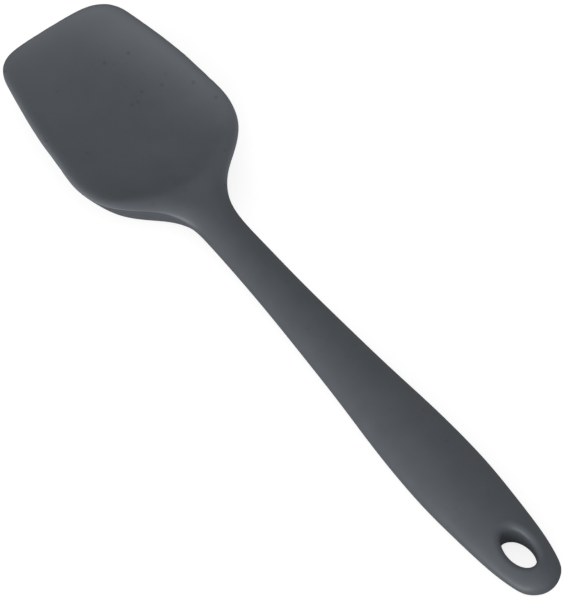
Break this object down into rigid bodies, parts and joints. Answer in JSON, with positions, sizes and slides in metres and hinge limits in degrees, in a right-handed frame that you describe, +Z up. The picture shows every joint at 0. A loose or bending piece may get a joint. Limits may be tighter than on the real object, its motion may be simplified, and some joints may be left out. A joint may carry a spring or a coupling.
{
  "type": "silicone spatula",
  "caption": "One-piece silicone spoon spatula: shallow bowl with a thin squared lip, slender neck, oval handle with a hanging hole, moulded over a nylon core and a steel spine.",
  "frame": {"origin": "on the surface that the spatula lies on, midway along its length, in its plane of symmetry", "axes": "+X from the end of the handle towards the tip of the head, +Y to the left as seen from the handle, +Z up, out of the bowl"},
  "size_m": [0.2697, 0.0618, 0.0152],
  "materials": {
    "silicone": "matte slate grey moulded silicone",
    "nylon": "dark glass-filled nylon as moulded",
    "steel": "rolled stainless strip with a fine grain"
  },
  "bodies": {
    "root": {"silicone_skin": "silicone", "nylon_core": "nylon", "steel_spine": "steel"}
  },
  "joints": []
}
